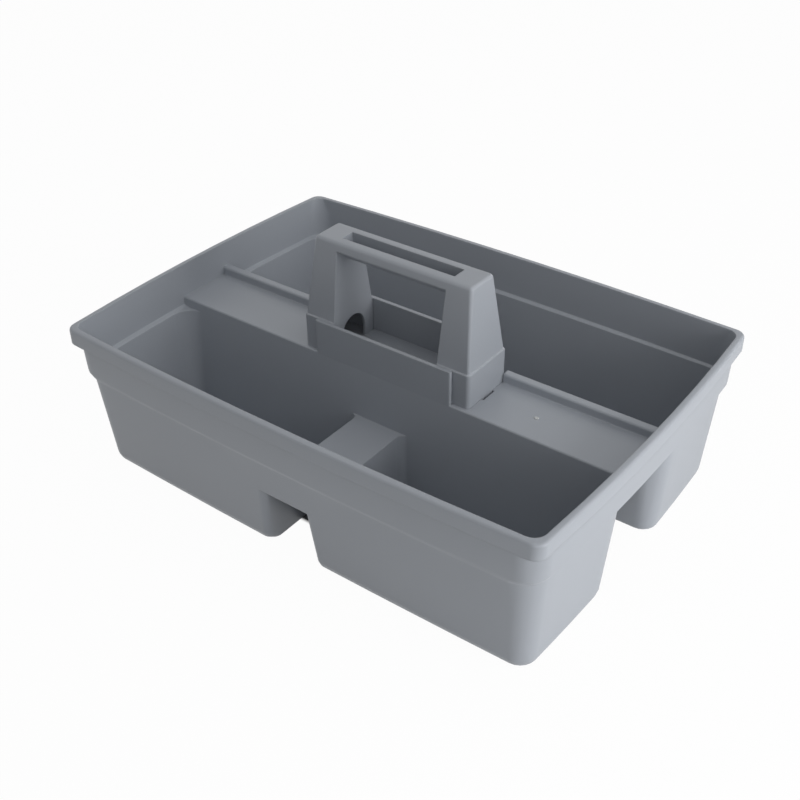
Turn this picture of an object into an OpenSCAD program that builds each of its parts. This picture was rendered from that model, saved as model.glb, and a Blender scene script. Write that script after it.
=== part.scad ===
// Tool storage caddy: a moulded tub with three compartments on a hollow ridge,
// and a hollow carrying handle that snaps into the top of the ridge.
// Millimetres, +Z up, origin on the floor under the middle of the tub.

/* [Tub] */
// Length of the rim, measured at its corners
rim_l = 400; // [370:1:430]
// Width of the rim, measured at its corners
rim_w = 281; // [265:1:300]
// Height of the rim above the floor
tub_h = 122; // [116:1:130]
// Corner radius of the rim
rim_r = 7.5; // [7:0.5:14]
// Width of the flat top of the rim
rim_land = 4.8; // [4.5:0.1:6]
// Rounding of the rim's outer top edge
rim_edge = 2.2; // [1:0.1:2.4]
// Height of the skirt that hangs from the rim
skirt_h = 12; // [8:0.5:16]
// Thickness of the rim's skirt
skirt_t = 1.5; // [1.2:0.1:1.8]
// Outward bow of the rim at the middle of each end
end_bow = 5.7; // [3.5:0.1:8]
// Outward bow of the rim at the middle of each long side
side_bow = 5; // [3.2:0.1:7]
// Outward bow of the lower body at the middle of each end
body_end_bow = 4.8; // [1:0.1:5.2]
// Outward bow of the lower body at the middle of each long side
body_side_bow = 3.4; // [1:0.1:3.8]
// Thickness of the walls
wall = 2.3; // [1.8:0.1:2.6]
// Thickness of the compartment floors
floor_t = 2.6; // [2:0.1:4]
// Inner corner radius of the rim's opening
opening_r = 7.5; // [5:0.5:12]
// Corner radius of the band under the rim
band_r = 16; // [12:0.5:18]
// Draft angle of the band, in degrees
band_draft = 1.6; // [0.5:0.1:2.5]
// Height of the band's lower edge, where the shoulder begins
shoulder_z = 86.5; // [84:0.5:89]
// Height of the sloping shoulder
shoulder_h = 7; // [4:0.5:10]
// Distance that the shoulder steps in at the ends
shoulder_end_in = 3.2; // [2:0.1:5]
// Distance that the shoulder steps in along the long sides
shoulder_side_in = 2.2; // [1:0.1:4]
// Height of the inner ledge above the shoulder's top
ledge_up = 1; // [0.5:0.1:2]
// Height of the inner ledge's slope
ledge_h = 1.5; // [1:0.1:4]
// Corner radius of the lower body under the shoulder
body_r = 17; // [13:0.5:18]
// Corner radius of the lower body at the floor
body_low_r = 12; // [11:0.5:18]
// Draft angle of the end walls, in degrees
end_draft = 3.9; // [3:0.1:4.5]
// Draft angle of the long walls, in degrees
side_draft = 5.2; // [4:0.1:6]
// Rounding of the feet's bottom edges along the long sides
foot_side_r = 10; // [10:0.5:11]
// Rounding of the feet's bottom edges at the ends and along the long tunnel
foot_end_r = 9; // [7:0.5:9.5]
// Rounding of the feet's bottom edges at the notch in the front
foot_notch_r = 1; // [0.6:0.2:2.4]

/* [Ridge] */
// Height of the shelf on top of the ridge
shelf_z = 95.2; // [92:0.2:99]
// Width of the shelf
shelf_w = 53.2; // [50:0.2:60]
// Rounding of the shelf's long edges
shelf_edge = 1.4; // [0.5:0.1:2]
// Draft angle of the ridge's walls, in degrees
ridge_draft = 5; // [3:0.1:5.5]
// Height of the tunnel's opening at each end
end_open_z = 82; // [72:0.5:83]
// Corner radius of the bowls beside the long tunnel, at its roof
tunnel_r = 17; // [12:0.5:18]
// Corner radius of the bowls beside the long tunnel, at the floor
tunnel_low_r = 12.5; // [12.5:0.5:18]
// Height of the lip along the shelf's rear edge
lip_h = 7; // [4:0.5:9]
// Width of the lip
lip_w = 7.1; // [5:0.1:8]
// Rounding of the lip's top edges
lip_r = 1.8; // [1:0.1:3.4]
// Hollow rounding at the lip's foot
lip_foot_r = 1; // [0.5:0.5:4]
// Gap between each end of the handle and the lip
lip_gap = 0.6; // [0.3:0.1:2]
// Length of the panels on both sides of the handle
panel_l = 120; // [100:1:125]
// Thickness of the panels
panel_t = 3; // [2.4:0.1:4]

/* [Divider] */
// Height of the divider between the front compartments
divider_z = 56; // [45:0.5:65]
// Width of the divider at its top
divider_w = 40; // [34:1:50]
// Draft angle of the divider's sides, in degrees
notch_draft = 4.5; // [2:0.1:6]
// Corner radius of the bowls at the notch in the front
notch_r = 5.5; // [5:0.5:12]
// Corner radius of the bowls where the two tunnels cross
cross_r = 8; // [6:0.5:12]

/* [Handle] */
// Height of the handle's top above the floor
handle_z = 183; // [172:0.5:190]
// Length of the handle's collars, over both
collar_l = 146; // [136:1:152]
// Height of the collars above the shelf
collar_h = 27; // [20:0.2:28]
// Corner radius of the collars
collar_r = 3; // [2.5:0.5:9]
// Distance that the collars stand out from the posts
collar_step = 1.2; // [0.6:0.1:1.6]
// Gap between the collars and the panels
panel_gap = 0.3; // [0.2:0.05:0.6]
// Length of the handle at its top
top_l = 134; // [124:0.5:138]
// Width of the handle at its top
top_w = 26.4; // [24.5:0.1:29]
// Rounding of the handle's top edges
top_r = 2.4; // [1:0.1:2.8]
// Corner radius of the posts at the top
post_r = 3; // [3:0.5:6]
// Length of the window at the foot of the posts
window_low_l = 91; // [84:1:96]
// Length of the window under the grip
window_top_l = 94; // [86:1:98]
// Depth of the grip's side skirts below the top
skirt_drop = 7; // [5:0.5:10]
// Depth of the round-bottomed channel below the top
channel_drop = 16.8; // [14:0.2:20]
// Inner width of the channel
channel_w = 11.6; // [11:0.2:15]
// Length of the channel
channel_l = 96; // [95:1:102]
// Thickness of the handle's walls
handle_wall = 2.3; // [1.8:0.1:2.6]
// Width of the arch at the foot of each post's inner wall
arch_w = 26; // [18:0.5:30]
// Height of the arch above the shelf
arch_h = 23.6; // [20:0.2:32]

/* [Snap hooks] */
// Width of each snap tongue
tongue_w = 13; // [8:0.5:18]
// Catch of each hook under the shelf
hook_catch = 1.4; // [1:0.1:1.6]
// Height of each hook
hook_h = 6; // [4:0.5:8]
// Gap between a hook and the underside of the shelf
hook_gap = 0.2; // [0.1:0.05:0.5]
// Gap between a tongue and its slot, on three sides
slot_gap = 0.4; // [0.2:0.1:1.5]
// Room beyond a tongue for it to bend outwards
slot_room = 1.8; // [1.6:0.1:6]

/* [Hidden] */

arc_steps = 5;
side_steps = 6;
skin = 0.03;
bow_free = 60;
half_l = rim_l / 2;
half_w = rim_w / 2;
band_top_z = tub_h - wall;
shoulder_low_z = shoulder_z - shoulder_h;
ledge_z = shoulder_z + ledge_up;
skirt_low_z = tub_h - skirt_h;
rim_bow = [end_bow, side_bow];
body_bow = [body_end_bow, body_side_bow];
panel_face_y = shelf_w / 2;
panel_in_y = panel_face_y - panel_t;
collar_hl = collar_l / 2;
collar_hw = panel_in_y - panel_gap;
kink_z = shelf_z + collar_h;
tongue_out_x = collar_hl;
tongue_in_x = tongue_out_x - handle_wall;
slot_in_x = tongue_in_x - slot_gap;
slot_out_x = tongue_out_x + slot_room;
slot_hw = tongue_w / 2 + slot_gap;
shelf_under_z = shelf_z - wall;

// Distances from the rim's corners to the band and the body at a height: [at the ends, at the sides]
function band_in(z) = (rim_land - wall + (band_top_z - z) * tan(band_draft)) * [1, 1];
function body_in(z) = band_in(shoulder_z) + [shoulder_end_in, shoulder_side_in]
  + (shoulder_low_z - z) * [tan(end_draft), tan(side_draft)];

// Half widths of the ridge and the divider at a height
function ridge_y(z) = shelf_w / 2 + (shelf_z - z) * tan(ridge_draft);
function divider_x(z) = divider_w / 2 + (divider_z - z) * tan(notch_draft);

// Share of the shoulder's slope passed at a height: 0 on the body, 1 on the band
function slope_share(z) = min(1, max(0, (z - shoulder_low_z) / shoulder_h));
function shell_in(z) = z > shoulder_z ? band_in(z)
  : z < shoulder_low_z ? body_in(z)
  : body_in(shoulder_low_z) + (band_in(shoulder_z) - body_in(shoulder_low_z)) * slope_share(z);
function shell_bow(z) = body_bow + (rim_bow - body_bow) * slope_share(z);

// Corner radius of the body from the floor to the shoulder, then of the band up to the rim
function body_corner(z) = body_low_r + (body_r - body_low_r) * min(1, z / shoulder_low_z);
function tunnel_corner(z) = tunnel_low_r + (tunnel_r - tunnel_low_r) * min(1, z / end_open_z);
function band_corner(z) = band_r
  + (opening_r + wall - band_r) * min(1, max(0, (z - skirt_low_z) / skirt_h));
function shell_r(z) = z > shoulder_z ? band_corner(z)
  : body_corner(z) + (band_r - body_r) * slope_share(z);

// A point of an outline, moved outwards by the bow of the end or side that it is on
function bowed(p, z, bow) = [
  p[0] + sign(p[0]) * bow[0] * (1 - pow(p[1] / half_w, 2))
    * max(0, (abs(p[0]) - bow_free) / (half_l - bow_free)),
  p[1] + sign(p[1]) * bow[1] * (1 - pow(p[0] / half_l, 2))
    * max(0, (abs(p[1]) - bow_free) / (half_w - bow_free)),
  z
];

// A round-cornered outline at height z, counter-clockwise from its +X +Y corner
function outline(z, x0, x1, y0, y1, r, bow, steps = side_steps) = [
  for (k = [0:3])
    let (
      n = (k + 1) % 4,
      mid = [
        [x1 - r[0], y1 - r[0]],
        [x0 + r[1], y1 - r[1]],
        [x0 + r[2], y0 + r[2]],
        [x1 - r[3], y0 + r[3]]
      ],
      from = mid[k] + r[k] * [cos(90 * k + 90), sin(90 * k + 90)],
      to = mid[n] + r[n] * [cos(90 * n), sin(90 * n)]
    )
    each concat(
      [
        for (i = [0:arc_steps])
          let (a = 90 * k + 90 * i / arc_steps)
          bowed(mid[k] + r[k] * [cos(a), sin(a)], z, bow)
      ],
      [
        for (i = [1:max(1, steps)])
          if (i <= steps)
            bowed(from + (to - from) * i / (steps + 1), z, bow)
      ]
    )
];

// An outline of the whole tub, set in from the rim's corners by inset = [at the ends, at the sides]
function whole(z, inset, r, bow) = outline(
  z,
  inset[0] - half_l,
  half_l - inset[0],
  inset[1] - half_w,
  half_w - inset[1],
  [r, r, r, r],
  bow
);

// A solid skinned over a stack of outlines
module loft(rings) {
  n = len(rings[0]);
  m = len(rings);
  polyhedron(
    points = [for (ring = rings) each ring],
    faces = concat(
      [[for (j = [0:n - 1]) j]],
      [[for (j = [n - 1:-1:0]) (m - 1) * n + j]],
      [
        for (i = [0:m - 2], j = [0:n - 1])
          [i * n + j, (i + 1) * n + j, (i + 1) * n + (j + 1) % n]
      ],
      [
        for (i = [0:m - 2], j = [0:n - 1])
          [i * n + j, (i + 1) * n + (j + 1) % n, i * n + (j + 1) % n]
      ]
    )
  );
}

// Steps up a bowl with rounded bottom edges: [height, insets at the end, side, notch].
// Each edge follows its own quarter circle, and the foot is as high as the largest of them.
function quarter(r, up) = up >= r ? 0 : r - sqrt(max(0, r * r - (r - up) * (r - up)));
function bowl_steps(low, high, end_r, side_r, notch_r) = concat(
  [
    for (up = [0, notch_r * 0.134, notch_r * 0.5, notch_r, end_r * 0.5, side_r * 0.5, end_r, side_r])
      [low + up, quarter(end_r, up), quarter(side_r, up), quarter(notch_r, up)]
  ],
  [for (z = [shoulder_low_z]) if (z < high) [z, 0, 0, 0]],
  [[high, 0, 0, 0]]
);
function outside_steps() = bowl_steps(0, end_open_z, foot_end_r, foot_side_r, foot_notch_r);
function inside_steps(high) =
  bowl_steps(floor_t, high, foot_end_r - wall, foot_side_r - wall, foot_notch_r / 2);

// Distances from the rim's corners to a bowl's outside when thick is 0, else to its straight inside
function bowl_in(z, thick) = thick > 0 ? body_in(z) + [thick, thick] : shell_in(z);
function bowl_bow(z, thick) = thick > 0 ? body_bow : shell_bow(z);

// The rear bowl's outside when thick is 0, or its inside when thick is the wall
function rear_ring(s, thick) =
  let (
    z = s[0],
    in = bowl_in(z, thick) + [s[1], s[2]],
    outer_r = body_corner(z) - thick - min(s[1], s[2]),
    tunnel_end_r = tunnel_corner(z) - thick - s[1]
  )
  outline(
    z,
    in[0] - half_l,
    half_l - in[0],
    ridge_y(z) - wall + thick + s[1],
    half_w - in[1],
    [outer_r, outer_r, tunnel_end_r, tunnel_end_r],
    bowl_bow(z, thick)
  );

// One front bowl's outside or inside, on the +X side of the divider
function front_ring(s, thick, spare = 0) =
  let (
    z = s[0],
    in = bowl_in(z, thick) + [s[1], s[2]]
  )
  outline(
    z,
    divider_x(z) - wall + thick + s[3],
    half_l - in[0] - spare,
    in[1] + spare - half_w,
    wall - thick - ridge_y(z) - s[1] - spare,
    [
      tunnel_corner(z) - thick - s[1],
      cross_r - thick - s[3],
      notch_r - thick - s[3],
      body_corner(z) - thick - min(s[1], s[2])
    ],
    bowl_bow(z, thick)
  );

module rear_bowl() {
  loft([for (s = outside_steps()) rear_ring(s, 0)]);
}

module front_bowl() {
  loft([for (s = outside_steps()) front_ring(s, 0)]);
}

module rear_room() {
  loft([for (s = inside_steps(ledge_z + ledge_h / 4)) rear_ring(s, wall)]);
}

module front_room() {
  loft([for (s = inside_steps(divider_z + 1)) front_ring(s, wall, skin)]);
}

// The open space over the divider, joining both front compartments
module front_trough() {
  mirror([0, 1, 0])
    loft([for (z = [divider_z, ledge_z + ledge_h / 4]) rear_ring([z, 0, 0, 0], wall)]);
}

// Outer shell at the heights listed, as a solid
module shell(heights) {
  loft([for (z = heights) whole(z, shell_in(z), shell_r(z), shell_bow(z))]);
}

module upper_shell() {
  slope = [for (z = [shoulder_low_z, shoulder_z]) if (z > end_open_z) z];
  shell(concat([end_open_z], slope, [skirt_low_z, tub_h - rim_edge]));
}

// The front wall and the underside of the divider, between the two front bowls
module front_web() {
  reach = divider_w / 2 + notch_r + 8;
  low = divider_z - wall;
  middle = [for (z = [shoulder_low_z]) if (z < end_open_z) z];
  intersection() {
    shell(concat([low], middle, [end_open_z]));
    rotate([90, 0, 90])
      linear_extrude(height = 2 * reach, center = true)
        polygon([
          [-rim_w, low - 1],
          [wall - ridge_y(low - 1), low - 1],
          [wall - ridge_y(end_open_z), end_open_z],
          [-rim_w, end_open_z]
        ]);
  }
}

module rim() {
  difference() {
    loft([
      for (s = [[skirt_low_z, 0], [tub_h - rim_edge, 0], [tub_h - rim_edge * 0.5, 0.134],
        [tub_h - rim_edge * 0.134, 0.5], [tub_h, 1]])
        whole(s[0], s[1] * rim_edge * [1, 1], rim_r - s[1] * rim_edge, rim_bow)
    ]);
    loft([
      for (z = [skirt_low_z - 1, tub_h - wall])
        whole(z, [skirt_t, skirt_t], rim_r - skirt_t, rim_bow)
    ]);
  }
}

// The space above the inner ledge, from wall to wall
module upper_room() {
  slope_top = ledge_z + ledge_h;
  t = [wall, wall];
  loft(concat(
    [whole(ledge_z, body_in(ledge_z) + t, body_r - wall, body_bow)],
    [
      for (z = [slope_top, skirt_low_z, tub_h + 1])
        whole(z, band_in(z) + t, band_corner(z) - wall, rim_bow)
    ]
  ));
}

// Section of the ridge above a height, with rounded shelf edges, drawn as y and z
module ridge_section(low) {
  edge_y = shelf_w / 2 - shelf_edge;
  edge_z = shelf_z - shelf_edge;
  polygon([
    [-ridge_y(low), low],
    [ridge_y(low), low],
    [ridge_y(edge_z), edge_z],
    [edge_y + shelf_edge * 0.866, edge_z + shelf_edge * 0.5],
    [edge_y + shelf_edge * 0.5, edge_z + shelf_edge * 0.866],
    [edge_y, shelf_z],
    [-edge_y, shelf_z],
    [-edge_y - shelf_edge * 0.5, edge_z + shelf_edge * 0.866],
    [-edge_y - shelf_edge * 0.866, edge_z + shelf_edge * 0.5],
    [-ridge_y(edge_z), edge_z]
  ]);
}

module ridge() {
  rotate([90, 0, 90])
    linear_extrude(height = rim_l + 40, center = true)
      ridge_section(shoulder_z - 2);
}

// The tunnel's roof space, closed by the end walls
module tunnel_roof() {
  reach = half_l - body_in(shoulder_low_z)[0] + body_end_bow * 0.9 - wall;
  rotate([90, 0, 90])
    linear_extrude(height = 2 * reach, center = true)
      polygon([
        [wall + skin - ridge_y(end_open_z - skin), end_open_z - skin],
        [ridge_y(end_open_z - skin) - wall - skin, end_open_z - skin],
        [ridge_y(shelf_under_z) - wall, shelf_under_z],
        [wall - ridge_y(shelf_under_z), shelf_under_z]
      ]);
}

// The guide panel on the +Y side, its face in line with the ridge wall
module panel() {
  mid_y = panel_face_y - panel_t / 2;
  half = panel_l / 2 - panel_t / 2;
  low = shelf_z - shelf_edge;
  translate([-half, panel_in_y, low])
    cube([2 * half, panel_t, tub_h - low]);
  for (x = [-half, half])
    translate([x, mid_y, low])
      cylinder(h = tub_h - low, d = panel_t, $fn = 24);
}

// The raised lip on the shelf's rear edge, on the +X side of the handle
module lip() {
  from_x = collar_hl + lip_gap;
  to_x = half_l - band_in(shelf_z)[0] - wall / 2 + end_bow * 0.95;
  low = shelf_z - shelf_edge;
  top = shelf_z + lip_h;
  in_y = panel_face_y - lip_w;
  translate([from_x, 0, 0])
    rotate([90, 0, 90])
      linear_extrude(height = to_x - from_x)
        union() {
          translate([in_y, low])
            square([lip_w, top - lip_r - low]);
          translate([in_y + lip_r, low])
            square([lip_w - 2 * lip_r, top - low]);
          for (y = [in_y + lip_r, panel_face_y - lip_r])
            translate([y, top - lip_r])
              circle(r = lip_r, $fn = 32);
          difference() {
            translate([in_y - lip_foot_r, low])
              square([lip_foot_r + 1, shelf_z + lip_foot_r - low]);
            translate([in_y - lip_foot_r, shelf_z + lip_foot_r])
              circle(r = lip_foot_r, $fn = 32);
          }
        }
}

module hook_slot() {
  translate([slot_in_x, -slot_hw, shelf_under_z - 5])
    cube([slot_out_x - slot_in_x, 2 * slot_hw, wall + 10]);
}

module tub() {
  color([0.55, 0.57, 0.59])
    difference() {
      union() {
        difference() {
          union() {
            rear_bowl();
            for (side = [0, 1])
              mirror([side, 0, 0])
                front_bowl();
            upper_shell();
            front_web();
            rim();
          }
          difference() {
            upper_room();
            ridge();
          }
          rear_room();
          front_trough();
          for (side = [0, 1])
            mirror([side, 0, 0])
              front_room();
          tunnel_roof();
        }
        for (side = [0, 1])
          mirror([0, side, 0])
            panel();
        for (side = [0, 1])
          mirror([side, 0, 0])
            lip();
      }
      for (side = [0, 1])
        mirror([side, 0, 0])
          hook_slot();
    }
}

// An outline centred on the handle's axis
function centred(z, hl, hw, r) =
  outline(z, -hl, hl, -hw, hw, [r, r, r, r], [0, 0], 0);

// The posts' half length and half width above the collars, by straight taper
function post_share(z) = (z - kink_z) / (handle_z - kink_z);
function post_hl(z) = collar_hl - collar_step + (top_l / 2 - collar_hl + collar_step) * post_share(z);
function post_hw(z) = collar_hw - collar_step + (top_w / 2 - collar_hw + collar_step) * post_share(z);
function post_corner(z) = collar_r - collar_step + (post_r - collar_r + collar_step) * post_share(z);

module handle_outside() {
  lead = collar_step;
  round_z = handle_z - top_r;
  loft([
    centred(shelf_z, collar_hl, collar_hw, collar_r),
    centred(kink_z - lead, collar_hl, collar_hw, collar_r),
    centred(kink_z - lead * 0.3, collar_hl - lead * 0.3, collar_hw - lead * 0.3, collar_r - lead * 0.3),
    centred(kink_z, post_hl(kink_z), post_hw(kink_z), post_corner(kink_z)),
    for (s = [[0, 1], [0.5, 0.866], [0.866, 0.5], [1, 0]])
      let (z = round_z + top_r * s[0], in = top_r * (1 - s[1]))
      centred(z, post_hl(z) - in, post_hw(z) - in, post_corner(z) - in)
  ]);
}

// Half the window's length at a height
function window_hl(z) =
  (window_low_l + (window_top_l - window_low_l) * min(1, max(0, post_share(z)))) / 2;

// The window between the posts, open down to the shelf, drawn as x and z
module window() {
  foot_z = shelf_z - 1;
  top_z = handle_z - skirt_drop;
  low = window_hl(foot_z);
  high = window_hl(top_z);
  rotate([90, 0, 0])
    linear_extrude(height = shelf_w, center = true)
      polygon([
        [-low, foot_z],
        [low, foot_z],
        [low, kink_z],
        [high, top_z],
        [-high, top_z],
        [-low, kink_z]
      ]);
}

// The hollow inside the +X post, open below
module post_room() {
  t = handle_wall;
  low_z = kink_z - collar_step - t;
  roof_z = handle_z - t;
  inner_r = max(0.5, post_r - t);
  loft([
    for (s = [[shelf_z - 1, collar_hl, collar_hw], [low_z, collar_hl, collar_hw],
      [kink_z, post_hl(kink_z), post_hw(kink_z)],
      [roof_z, post_hl(roof_z) - top_r / 3, post_hw(roof_z) - top_r / 3]])
      outline(
        s[0],
        window_hl(s[0]) + t,
        s[1] - t,
        t - s[2],
        s[2] - t,
        [inner_r, 1.5, 1.5, inner_r],
        [0, 0],
        0
      )
  ]);
}

// The space between the grip's skirts, open below
module grip_room() {
  top_z = handle_z - skirt_drop;
  half = window_top_l / 2;
  hw = post_hw(handle_z) - handle_wall;
  translate([-half, -hw, top_z - 1])
    cube([2 * half, 2 * hw, skirt_drop + 1 - handle_wall]);
}

// A bar with a half-round bottom along the grip
module channel_bar(half, hw, bottom_z, top_z) {
  translate([-half, 0, 0])
    rotate([90, 0, 90])
      linear_extrude(height = 2 * half)
        union() {
          translate([-hw, bottom_z + hw])
            square([2 * hw, top_z - bottom_z - hw]);
          intersection() {
            translate([0, bottom_z + hw])
              circle(r = hw, $fn = 40);
            translate([-hw, bottom_z - 1])
              square([2 * hw, hw + 2]);
          }
        }
}

module channel_outside() {
  channel_bar(
    channel_l / 2 + handle_wall,
    channel_w / 2 + handle_wall,
    handle_z - channel_drop,
    handle_z - handle_wall / 2
  );
}

module channel_inside() {
  channel_bar(
    channel_l / 2,
    channel_w / 2,
    handle_z - channel_drop + handle_wall,
    handle_z + 1
  );
}

// The arched opening at the foot of the +X post's inner wall
module arch() {
  from_x = window_low_l / 2 - 1;
  spring_z = shelf_z + arch_h - arch_w / 2;
  translate([from_x, 0, 0])
    rotate([90, 0, 90])
      linear_extrude(height = handle_wall + 1.6)
        union() {
          translate([-arch_w / 2, shelf_z - 1])
            square([arch_w, spring_z - shelf_z + 1]);
          translate([0, spring_z])
            circle(d = arch_w, $fn = 48);
        }
}

// The +X snap tongue and its hook, which catches under the shelf
module tongue() {
  hook_z = shelf_under_z - hook_gap;
  tip_z = hook_z - hook_h;
  catch_x = slot_in_x - hook_catch;
  translate([tongue_in_x, -tongue_w / 2, tip_z])
    cube([handle_wall, tongue_w, shelf_z + 4 - tip_z]);
  rotate([90, 0, 0])
    linear_extrude(height = tongue_w, center = true)
      polygon([
        [tongue_in_x + 1, tip_z],
        [tongue_in_x, tip_z],
        [catch_x, hook_z - 1.5],
        [catch_x, hook_z],
        [tongue_in_x + 1, hook_z]
      ]);
}

module handle() {
  color([0.55, 0.57, 0.59])
    difference() {
      union() {
        difference() {
          handle_outside();
          window();
          for (side = [0, 1])
            mirror([side, 0, 0]) {
              post_room();
              arch();
            }
          grip_room();
        }
        channel_outside();
        for (side = [0, 1])
          mirror([side, 0, 0])
            tongue();
      }
      channel_inside();
    }
}

tub();
handle();
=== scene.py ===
"""Tool storage caddy: a moulded plastic tub with a hollow ridge, and the carrying handle snapped into it."""
import math

import bmesh
import bpy
from mathutils import Matrix, Vector


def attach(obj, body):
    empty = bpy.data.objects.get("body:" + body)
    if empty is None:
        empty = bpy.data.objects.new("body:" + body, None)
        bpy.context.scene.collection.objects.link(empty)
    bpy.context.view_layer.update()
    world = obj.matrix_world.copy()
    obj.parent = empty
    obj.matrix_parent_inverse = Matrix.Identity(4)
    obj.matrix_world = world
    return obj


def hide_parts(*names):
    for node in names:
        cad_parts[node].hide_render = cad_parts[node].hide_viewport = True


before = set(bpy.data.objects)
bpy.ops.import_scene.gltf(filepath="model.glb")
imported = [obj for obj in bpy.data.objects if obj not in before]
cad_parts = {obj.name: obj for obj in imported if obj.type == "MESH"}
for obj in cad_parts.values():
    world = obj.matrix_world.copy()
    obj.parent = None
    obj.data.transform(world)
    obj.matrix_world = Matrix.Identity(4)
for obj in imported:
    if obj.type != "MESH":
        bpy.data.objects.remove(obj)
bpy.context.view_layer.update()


# --- Camera -----------------------------------------------------------------
# A three-quarter view from the front right and above, with a short telephoto
# lens, aimed near the middle of the caddy.
view_turn = math.radians(37.52)
view_tilt = math.radians(34.76)
view_roll = math.radians(-0.88)
view_distance = 0.83672
aim_right = -0.00273
aim_up = -0.01574
aim_height = 0.080
lens_length = 51.12
sensor_width = 36
nearest_shown = 0.05

towards = Vector((
    math.sin(view_turn) * math.cos(view_tilt),
    -math.cos(view_turn) * math.cos(view_tilt),
    math.sin(view_tilt),
))
level_right = Vector((math.cos(view_turn), math.sin(view_turn), 0))
level_up = towards.cross(level_right)
aim = Vector((0, 0, aim_height)) + aim_right * level_right + aim_up * level_up
eye = aim + view_distance * towards
roll = Matrix.Rotation(view_roll, 3, towards)
frame_right = roll @ level_right
frame_up = roll @ level_up

lens = bpy.data.cameras.new("camera")
lens.lens = lens_length
lens.sensor_width = sensor_width
lens.clip_start = nearest_shown
camera = bpy.data.objects.new("camera", lens)
bpy.context.collection.objects.link(camera)
camera.matrix_world = Matrix.Translation(eye) @ Matrix(
    (frame_right, frame_up, towards)).transposed().to_4x4()
bpy.context.scene.camera = camera


# --- Tub --------------------------------------------------------------------
# One injection-moulded piece of grey polypropylene: three bowls, the ridge
# between them and the band and rim round the top. The mould is finely
# sparked, so walls are satin, and every edge has a small radius.

class Socket:
    """A socket of a material's nodes; sums on it add Math nodes."""

    def __init__(self, tree, out):
        self.tree = tree
        self.out = out

    def node(self, kind, settings=None, inputs=None, out=0):
        made = self.tree.nodes.new("ShaderNode" + kind)
        for name, value in (settings or {}).items():
            setattr(made, name, value)
        for name, value in (inputs or {}).items():
            if isinstance(value, Socket):
                self.tree.links.new(value.out, made.inputs[name])
            else:
                made.inputs[name].default_value = value
        return Socket(self.tree, made.outputs[out] if made.outputs else None)

    def math(self, operation, first, second=0.0):
        return self.node("Math", {"operation": operation}, {0: first, 1: second})

    def ramp(self, value, low, high, low_result, high_result):
        """A value's straight climb or fall between two levels, held flat past both."""
        return self.node("MapRange", {"clamp": True}, {
            "Value": value, "From Min": low, "From Max": high, "To Min": low_result, "To Max": high_result})

    def __add__(self, other):
        return self.math("ADD", self, other)

    def __radd__(self, other):
        return self.math("ADD", other, self)

    def __sub__(self, other):
        return self.math("SUBTRACT", self, other)

    def __rsub__(self, other):
        return self.math("SUBTRACT", other, self)

    def __mul__(self, other):
        return self.math("MULTIPLY", self, other)

    def __rmul__(self, other):
        return self.math("MULTIPLY", other, self)


def moulded_plastic(name, colour, shift):
    """Satin moulded plastic: fine sparked grain, slow colour drift, and edges painted a little lighter as a
    highlight, in patches.
    """
    drift_scale = 9
    grain_scale = 1400
    wave_scale = 22
    highlight_patch_scale = 160
    edge_radius = 0.0011
    edge_samples = 6
    drift_share = 0.035
    highlight_share = 0.12
    edge_highlight_strength = 0.5
    satin = 0.43
    refraction = 1.47

    made = bpy.data.materials.new(name)
    made.use_nodes = True
    tree = made.node_tree
    tree.nodes.clear()
    start = Socket(tree, None)
    place = start.node("TexCoord", out="Object")
    moved = start.node("Mapping", inputs={"Vector": place, "Location": (shift, shift * 0.7, shift * 1.3)})

    def noise(scale, detail, roughness):
        return start.node("TexNoise", inputs={
            "Vector": moved, "Scale": scale, "Detail": detail, "Roughness": roughness})

    drift = noise(drift_scale, 3, 0.5)
    grain = noise(grain_scale, 2, 0.6)
    waves = noise(wave_scale, 1, 0.4)
    highlight_patches = noise(highlight_patch_scale, 4, 0.7)

    flat = start.node("NewGeometry", out="Normal")
    eased = start.node("Bevel", {"samples": edge_samples}, {"Radius": edge_radius})
    match = start.node("VectorMath", {"operation": "DOT_PRODUCT"}, {0: flat, 1: eased}, out="Value")
    # Painted highlight: edges, found where the Bevel normal turns away from the face normal, are tinted paler
    # in noise patches; the same mask roughens them a little.
    edge = start.ramp(match, 0.995, 0.90, 0.0, 1.0)
    edge_highlight_mask = edge * start.ramp(highlight_patches, 0.42, 0.62, 0.25, 1.0)

    low = [part * (1 - drift_share) for part in colour]
    high = [min(1, part * (1 + drift_share)) for part in colour]
    highlight_colour = [part + (1 - part) * highlight_share for part in colour]
    body = start.node("Mix", {"data_type": "RGBA"}, {"Factor": drift, "A": (*low, 1), "B": (*high, 1)}, out=2)
    tint = start.node("Mix", {"data_type": "RGBA"}, {
        "Factor": edge_highlight_mask * edge_highlight_strength, "A": body, "B": (*highlight_colour, 1)}, out=2)
    roughness = satin + 0.10 * (drift - 0.5) + 0.08 * (grain - 0.5) + 0.05 * edge_highlight_mask

    relief = start.node("Bump", inputs={
        "Strength": 0.10, "Distance": 0.0002, "Height": grain, "Normal": eased})
    relief = start.node("Bump", inputs={
        "Strength": 0.18, "Distance": 0.0010, "Height": waves, "Normal": relief})
    skin = start.node("BsdfPrincipled", inputs={
        "Base Color": tint, "Roughness": roughness, "Normal": relief, "Metallic": 0.0, "IOR": refraction})
    start.node("OutputMaterial", inputs={"Surface": skin})
    return made


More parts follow.
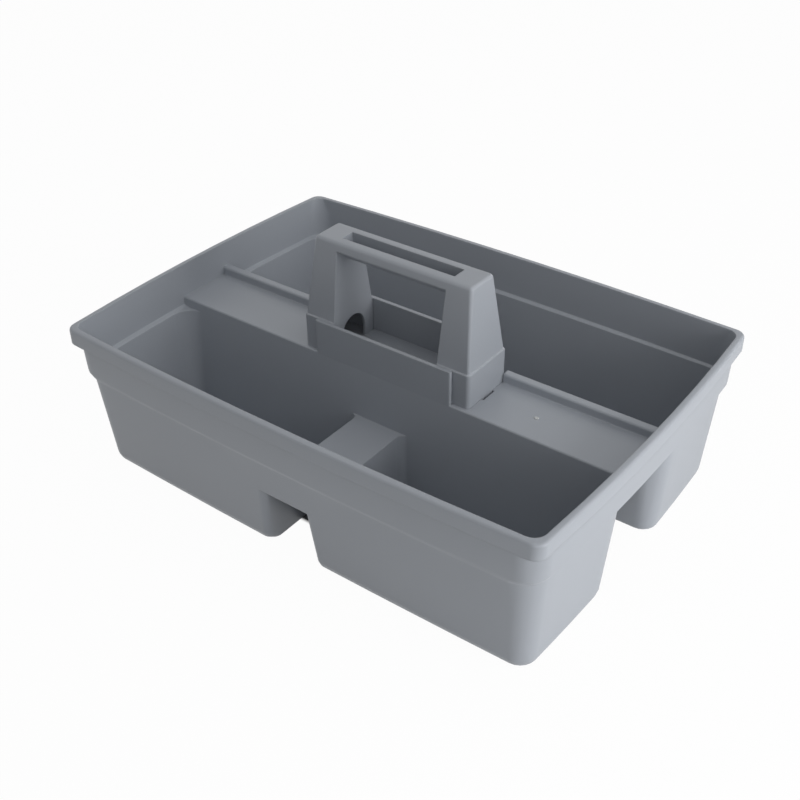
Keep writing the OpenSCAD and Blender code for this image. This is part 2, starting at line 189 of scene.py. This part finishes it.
def eased_shell(node, name):
    """A piece with a node's form, its flats merged and its curves shaded as one surface."""
    same_point = 2e-6
    flattest = math.radians(0.4)
    sharpest = math.radians(32)
    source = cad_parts[node]
    form = bmesh.new()
    form.from_mesh(source.data)
    bmesh.ops.remove_doubles(form, verts=form.verts, dist=same_point)
    bmesh.ops.dissolve_limit(form, angle_limit=flattest, verts=form.verts, edges=form.edges)
    bmesh.ops.triangulate(form, faces=form.faces)
    for face in form.faces:
        face.smooth = True
    for edge in form.edges:
        edge.smooth = len(edge.link_faces) == 2 and edge.calc_face_angle(0) < sharpest
    mesh = bpy.data.meshes.new(name)
    form.to_mesh(mesh)
    form.free()
    piece = bpy.data.objects.new(name, mesh)
    bpy.context.collection.objects.link(piece)
    weights = piece.modifiers.new("even_normals", "WEIGHTED_NORMAL")
    weights.mode = "FACE_AREA"
    weights.weight = 60
    weights.keep_sharp = True
    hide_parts(node)
    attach(piece, "root")
    return piece


tub_grey = (0.343, 0.366, 0.402)
tub_finish = moulded_plastic("tub_plastic", tub_grey, 0.0)
tub = eased_shell("tub", "tub_shell")
tub.data.materials.append(tub_finish)


# --- Gate nib ---------------------------------------------------------------
# The mould's gate leaves a small snapped-off nib on the shelf, right of the
# handle. It is the tub's own plastic, whitened by the break.
nib_middle = Vector((0.1156, -0.0040, 0.0952))
nib_radius = 0.0019
nib_height = 0.0005
nib_steps = 20
nib_rings = ((1.0, -0.1), (0.88, 0.55), (0.62, 1.0), (0.34, 0.75))
nib_grey = (0.58, 0.60, 0.60)

nib_form = bmesh.new()
rings = []
for share, rise in nib_rings:
    ring = []
    for step in range(nib_steps):
        around = 2 * math.pi * step / nib_steps
        reach = share * nib_radius * (1 + 0.06 * math.sin(3 * around + 5 * share))
        torn = rise * nib_height * (1 + 0.2 * math.sin(2 * around + 3 * share))
        ring.append(nib_form.verts.new((reach * math.cos(around), reach * math.sin(around), torn)))
    rings.append(ring)
for low_ring, high_ring in zip(rings, rings[1:]):
    for step in range(nib_steps):
        after = (step + 1) % nib_steps
        nib_form.faces.new((low_ring[step], low_ring[after], high_ring[after], high_ring[step]))
nib_form.faces.new(rings[-1])
nib_form.faces.new(rings[0][::-1])
nib_mesh = bpy.data.meshes.new("gate_nib")
nib_form.transform(Matrix.Translation(nib_middle))
for face in nib_form.faces:
    face.smooth = True
nib_form.to_mesh(nib_mesh)
nib_form.free()
nib = bpy.data.objects.new("gate_nib", nib_mesh)
bpy.context.collection.objects.link(nib)
nib_mesh.materials.append(moulded_plastic("gate_nib_plastic", nib_grey, 5.2))
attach(nib, "root")


# --- Handle -----------------------------------------------------------------
# A hollow moulding in the same grey: two tapered posts on broad collars and a
# grip with a round-bottomed channel. Its two tongues snap into the ridge.
handle_finish = moulded_plastic("handle_plastic", tub_grey, 3.1)
handle = eased_shell("handle", "handle_shell")
handle.data.materials.append(handle_finish)


# --- Studio -----------------------------------------------------------------
# A white table and backdrop. Two soft lamps stand low on the right, a broad
# one hangs overhead, and weak ones fill in from behind and from the front.
bpy.context.scene.view_settings.view_transform = "Standard"
table_half = 6

floor_mesh = bpy.data.meshes.new("floor")
floor_form = bmesh.new()
bmesh.ops.create_grid(floor_form, x_segments=1, y_segments=1, size=table_half)
floor_form.to_mesh(floor_mesh)
floor_form.free()
floor = bpy.data.objects.new("floor", floor_mesh)
bpy.context.collection.objects.link(floor)

white_share = 0.97
paper_white = (0.80, 0.80, 0.80, 1)
# Painted shadow: under the tub's middle the paper is coloured dark and shows no white, standing in for the
# shade that falls there.
painted_floor_shadow = (0.20, 0.20, 0.21, 1)

paper = bpy.data.materials.new("white_table")
paper.use_nodes = True
paper_tree = paper.node_tree
paper_tree.nodes.clear()
sheet = Socket(paper_tree, None)
seen = (sheet.node("LightPath", out="Is Camera Ray") + sheet.node("LightPath", out="Is Glossy Ray")
        + sheet.node("LightPath", out="Is Transmission Ray"))
shown = sheet.math("MINIMUM", seen, 1.0)
spot = sheet.node("TexCoord", out="Object")
across = sheet.math("ABSOLUTE", sheet.node("SeparateXYZ", inputs={0: spot}, out="X"))
along = sheet.math("ABSOLUTE", sheet.node("SeparateXYZ", inputs={0: spot}, out="Y"))
covered = sheet.ramp(across, 0.095, 0.105, 1.0, 0.0) * sheet.ramp(along, 0.0945, 0.0975, 1.0, 0.0)
paper_tone = sheet.node("Mix", {"data_type": "RGBA"}, {
    "Factor": covered, "A": paper_white, "B": painted_floor_shadow}, out=2)
plain = sheet.node("BsdfDiffuse", inputs={"Color": paper_tone})
white = sheet.node("Emission", inputs={"Color": (1, 1, 1, 1), "Strength": 1.0})
table_top = sheet.node("MixShader", inputs={0: shown * white_share * (1 - covered), 1: plain, 2: white})
sheet.node("OutputMaterial", inputs={"Surface": table_top})
floor_mesh.materials.append(paper)

room_light = 0.27

world = bpy.data.worlds.new("studio")
bpy.context.scene.world = world
world.use_nodes = True
world_tree = world.node_tree
world_tree.nodes.clear()
sky = Socket(world_tree, None)
sky_seen = (sky.node("LightPath", out="Is Camera Ray") + sky.node("LightPath", out="Is Glossy Ray")
            + sky.node("LightPath", out="Is Transmission Ray"))
strength = room_light + (1 - room_light) * sky.math("MINIMUM", sky_seen, 1.0)
air = sky.node("Background", inputs={"Color": (1, 1, 1, 1), "Strength": strength})
sky.node("OutputWorld", inputs={"Surface": air})


def soft_lamp(name, place, width, height, watts):
    """A rectangular softbox at a place, turned to face the caddy."""
    data = bpy.data.lights.new(name, "AREA")
    data.shape = "RECTANGLE"
    data.size = width
    data.size_y = height
    data.energy = watts
    lamp = bpy.data.objects.new(name, data)
    bpy.context.collection.objects.link(lamp)
    lamp.location = place
    lamp.rotation_euler = (Vector((0, 0, aim_height)) - Vector(place)).to_track_quat("-Z", "Y").to_euler()


soft_lamp("key_near", (0.775, -0.109, 0.246), 0.5, 0.5, 1.7)
soft_lamp("key_far", (1.063, 0.093, 0.346), 0.5, 0.5, 3.7)
soft_lamp("top_soft", (0.0, 0.1, 1.9), 1.4, 1.4, 6.4)
soft_lamp("rear_fill", (0.843, 1.004, 0.998), 1.0, 1.0, 1.8)
soft_lamp("front_fill", (1.113, -1.327, 1.08), 1.2, 1.0, 2.6)
